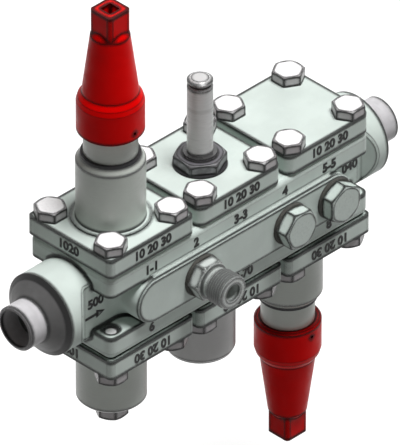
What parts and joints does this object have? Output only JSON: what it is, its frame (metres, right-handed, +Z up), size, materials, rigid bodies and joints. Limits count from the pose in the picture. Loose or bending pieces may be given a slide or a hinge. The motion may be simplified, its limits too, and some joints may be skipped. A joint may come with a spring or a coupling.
{
  "type": "valve station",
  "caption": "Cast in-line valve station with screwed-on function modules above and below, side ports and butt-weld pipe ends.",
  "frame": {"origin": "middle of the inlet's weld face, on the pipe axis", "axes": "+X along the flow towards the outlet, -Y the side with the ports, +Z up through the inlet stop valve"},
  "size_m": [0.29, 0.0973, 0.3584],
  "materials": {
    "cast_steel": "fine casting, satin",
    "machined_steel": "turned, satin",
    "dark_steel": "turned, dark phosphate",
    "bolt_steel": "zinc plated",
    "tube_steel": "drawn stainless",
    "nut_steel": "black oxide",
    "cap_red": "red enamel",
    "seal_black": "matt",
    "gasket_fibre": "matt fibre",
    "packing_white": "matt",
    "brass": "turned"
  },
  "bodies": {
    "station": {"valve_housing": "cast_steel", "inlet_weld_end": "dark_steel", "outlet_weld_end": "dark_steel", "inlet_stop_cover": "cast_steel", "inlet_stop_gasket": "gasket_fibre", "inlet_stop_bolts": "bolt_steel", "filter_cover": "cast_steel", "filter_gasket": "gasket_fibre", "filter_bolts": "bolt_steel", "solenoid_cover": "cast_steel", "solenoid_gasket": "gasket_fibre", "solenoid_bolts": "bolt_steel", "check_cover": "cast_steel", "check_gasket": "gasket_fibre", "check_bolts": "bolt_steel", "blank_cover": "cast_steel", "blank_gasket": "gasket_fibre", "blank_bolts": "bolt_steel", "outlet_stop_cover": "cast_steel", "outlet_stop_gasket": "gasket_fibre", "outlet_stop_bolts": "bolt_steel", "inlet_bonnet": "machined_steel", "inlet_packing": "packing_white", "inlet_gland": "machined_steel", "inlet_collar_ring": "seal_black", "outlet_bonnet": "machined_steel", "outlet_packing": "packing_white", "outlet_gland": "machined_steel", "outlet_collar_ring": "seal_black", "filter_cup": "machined_steel", "drain_washer": "gasket_fibre", "drain_plug": "bolt_steel", "strainer_basket": "tube_steel", "strainer_mesh": "tube_steel", "check_housing": "dark_steel", "check_spring": "tube_steel", "armature_tube": "tube_steel", "solenoid_washer": "seal_black", "solenoid_nut": "nut_steel", "pilot_seat": "brass", "armature_spring": "tube_steel", "piston_spring": "tube_steel", "port_2_washer": "gasket_fibre", "port_4_washer": "gasket_fibre", "port_5_washer": "gasket_fibre", "port_2_connector": "bolt_steel", "port_4_plug": "bolt_steel", "port_5_plug": "bolt_steel"},
    "inlet_disc": {"inlet_stop_disc": "machined_steel"},
    "inlet_stem": {"inlet_spindle": "tube_steel"},
    "inlet_seal": {"inlet_cap_seal": "packing_white"},
    "inlet_seal_cap": {"inlet_cap": "cap_red"},
    "outlet_disc": {"outlet_stop_disc": "machined_steel"},
    "outlet_stem": {"outlet_spindle": "tube_steel"},
    "outlet_seal": {"outlet_cap_seal": "packing_white"},
    "outlet_seal_cap": {"outlet_cap": "cap_red"},
    "check_valve": {"check_disc": "machined_steel"},
    "solenoid_armature": {"armature": "tube_steel"},
    "piston": {"main_piston": "machined_steel"}
  },
  "joints": [
    {"name": "inlet_disc_lift", "type": "slide", "parent": "station", "child": "inlet_disc", "axis": [0, 0, 1], "range_m": [0, 0.008]},
    {"name": "inlet_spindle_turn", "type": "hinge", "parent": "inlet_disc", "child": "inlet_stem", "pos_m": [0.075, 0, 0.1], "axis": [0, 0, 1], "range_deg": [0, 1440]},
    {"name": "inlet_cap_lift", "type": "slide", "parent": "station", "child": "inlet_seal", "axis": [0, 0, 1], "range_m": [0, 0.016]},
    {"name": "inlet_cap_turn", "type": "hinge", "parent": "inlet_seal", "child": "inlet_seal_cap", "pos_m": [0.075, 0, 0.12], "axis": [0, 0, 1], "range_deg": [0, 2880]},
    {"name": "outlet_disc_lift", "type": "slide", "parent": "station", "child": "outlet_disc", "axis": [0, 0, -1], "range_m": [0, 0.008]},
    {"name": "outlet_spindle_turn", "type": "hinge", "parent": "outlet_disc", "child": "outlet_stem", "pos_m": [0.215, 0, -0.1], "axis": [0, 0, -1], "range_deg": [0, 1440]},
    {"name": "outlet_cap_lift", "type": "slide", "parent": "station", "child": "outlet_seal", "axis": [0, 0, -1], "range_m": [0, 0.016]},
    {"name": "outlet_cap_turn", "type": "hinge", "parent": "outlet_seal", "child": "outlet_seal_cap", "pos_m": [0.215, 0, -0.12], "axis": [0, 0, -1], "range_deg": [0, 2880]},
    {"name": "check_lift", "type": "slide", "parent": "station", "child": "check_valve", "axis": [0, 0, -1], "range_m": [0, 0.008], "stiffness_N_per_m": 300, "springref_m": -0.006, "deforming": ["check_spring"]},
    {"name": "armature_stroke", "type": "slide", "parent": "station", "child": "solenoid_armature", "axis": [0, 0, 1], "range_m": [0, 0.004], "stiffness_N_per_m": 200, "springref_m": -0.004, "deforming": ["armature_spring"]},
    {"name": "piston_lift", "type": "slide", "parent": "station", "child": "piston", "axis": [0, 0, 1], "range_m": [0, 0.006], "stiffness_N_per_m": 300, "springref_m": -0.005, "deforming": ["piston_spring"]}
  ],
  "couplings": [
    {"joint": "inlet_spindle_turn", "follows": "inlet_disc_lift", "rad_per_m": 3141.6},
    {"joint": "inlet_cap_turn", "follows": "inlet_cap_lift", "rad_per_m": 3141.6},
    {"joint": "outlet_spindle_turn", "follows": "outlet_disc_lift", "rad_per_m": 3141.6},
    {"joint": "outlet_cap_turn", "follows": "outlet_cap_lift", "rad_per_m": 3141.6}
  ]
}
